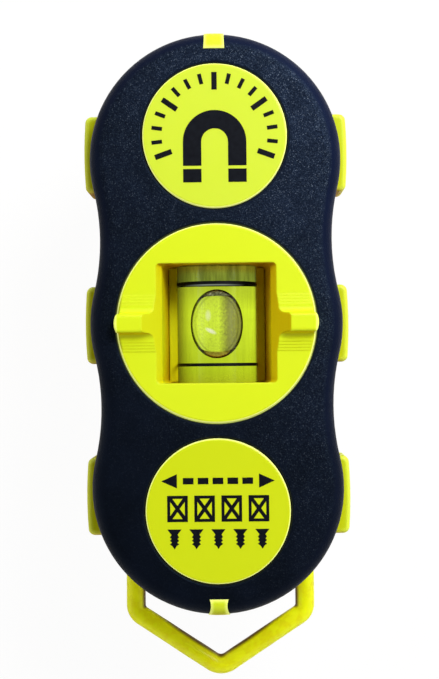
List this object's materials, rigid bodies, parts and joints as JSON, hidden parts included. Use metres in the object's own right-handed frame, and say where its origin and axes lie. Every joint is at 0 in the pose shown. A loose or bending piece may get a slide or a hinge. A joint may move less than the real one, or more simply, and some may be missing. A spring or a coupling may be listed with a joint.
{
  "type": "magnetic stud finder",
  "caption": "Pocket magnetic stud finder: navy cover on a yellow housing with end magnets, a quarter-turn level dial and a folding wire bail.",
  "frame": {"origin": "middle of the flat back that slides over the wall", "axes": "+Z out of the front face, +Y along the body away from the hanging bail, +X to the right when the front is seen with the bail at the bottom"},
  "size_m": [0.0384, 0.0945, 0.022],
  "materials": {
    "navy_plastic": "satin",
    "yellow_plastic": "satin",
    "clear_acrylic": "gloss",
    "level_fluid": "gloss",
    "bubble_gas": "gloss",
    "black_print": "satin",
    "plug_plastic": "matte",
    "nickel_plate": "polished",
    "grey_foam": "matte",
    "black_felt": "matte",
    "black_rubber": "matte",
    "zinc_steel": "satin",
    "bare_steel": "satin",
    "yellow_vinyl": "satin"
  },
  "bodies": {
    "housing": {"front_cover": "navy_plastic", "rear_housing": "yellow_plastic", "upper_face_disc": "yellow_plastic", "lower_face_disc": "yellow_plastic", "upper_magnet": "nickel_plate", "lower_magnet": "nickel_plate", "upper_foam_disc": "grey_foam", "lower_foam_disc": "grey_foam", "upper_felt_pad": "black_felt", "lower_felt_pad": "black_felt", "housing_screws": "zinc_steel"},
    "level": {"level_dial": "yellow_plastic", "dial_base": "yellow_plastic", "dial_friction_ring": "black_rubber", "vial_tube": "clear_acrylic", "vial_plug": "plug_plastic", "vial_lines": "black_print", "vial_fluid": "level_fluid"},
    "bubble": {"vial_bubble": "bubble_gas"},
    "bail": {"bail_wire": "bare_steel", "bail_sleeve": "yellow_vinyl"}
  },
  "joints": [
    {"name": "dial_turn", "type": "hinge", "parent": "housing", "child": "level", "pos_m": [0, 0, 0.012], "axis": [0, 0, 1], "range_deg": [0, 90]},
    {"name": "bubble_travel", "type": "slide", "parent": "level", "child": "bubble", "axis": [0, 1, 0], "range_m": [-0.0035, 0.0035], "stiffness_N_per_m": 0.5},
    {"name": "bail_swing", "type": "hinge", "parent": "housing", "child": "bail", "pos_m": [0, -0.032, 0.0034], "axis": [1, 0, 0], "range_deg": [0, 90]}
  ]
}
